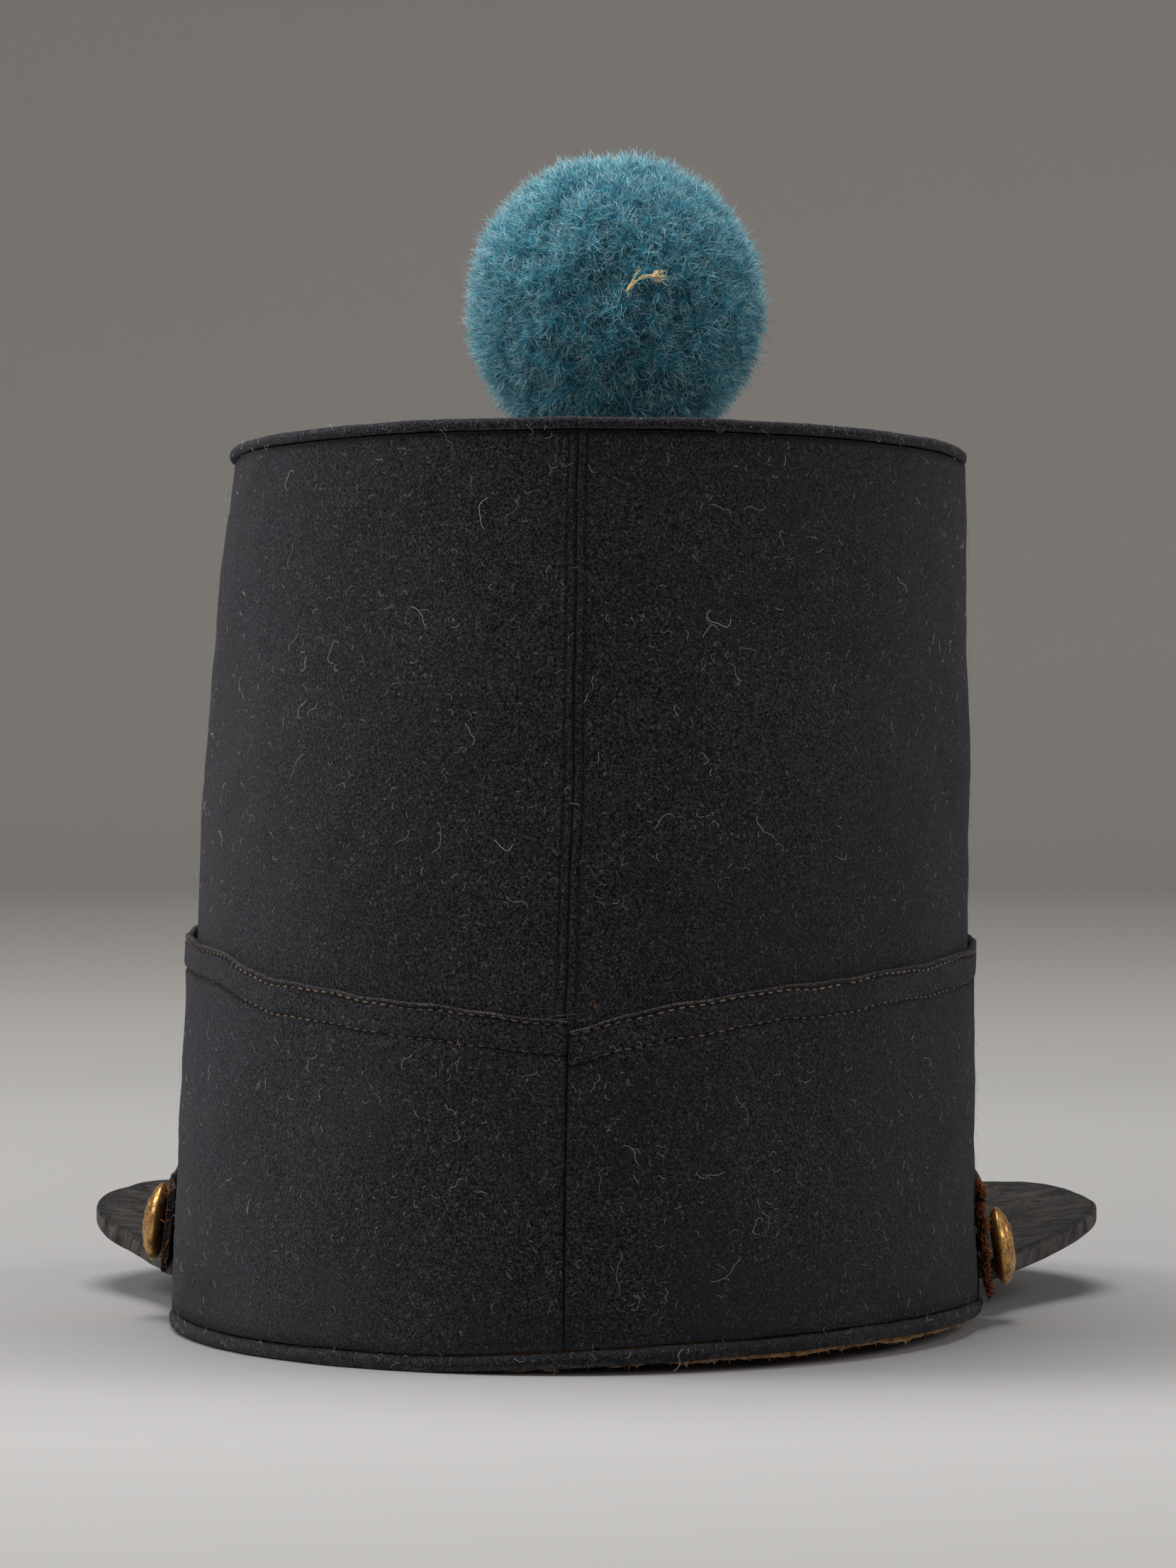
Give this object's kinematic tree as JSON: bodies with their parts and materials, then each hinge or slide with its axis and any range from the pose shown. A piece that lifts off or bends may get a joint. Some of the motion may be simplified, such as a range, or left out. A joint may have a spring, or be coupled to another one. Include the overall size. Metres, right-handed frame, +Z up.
{
  "type": "shako hat",
  "caption": "Tapered black cloth shako with a flat corded top, stitched lower band, leather visor and chin strap, brass side buttons and a teal wool pompom.",
  "frame": {"origin": "centre of the head opening, on the plane of the rim that the hat stands on", "axes": "+Z up through the top, -Y towards the visor at the front, +X towards the wearer's left"},
  "size_m": [0.2144, 0.2485, 0.2429],
  "materials": {
    "black_broadcloth": "napped",
    "black_leather": "dull, worn",
    "tan_leather": "rough, frayed",
    "old_brass": "tarnished gilt",
    "teal_wool": "clipped wool pile"
  },
  "bodies": {
    "root": {"crown_shell": "black_broadcloth", "top_disc": "black_broadcloth", "top_welt": "black_broadcloth", "lower_band": "black_broadcloth", "base_welt": "black_broadcloth", "sweatband": "tan_leather", "visor": "black_leather", "chin_strap": "black_leather", "button_left": "old_brass", "button_right": "old_brass", "pompom": "teal_wool", "pompom_stem": "black_broadcloth"}
  },
  "joints": []
}
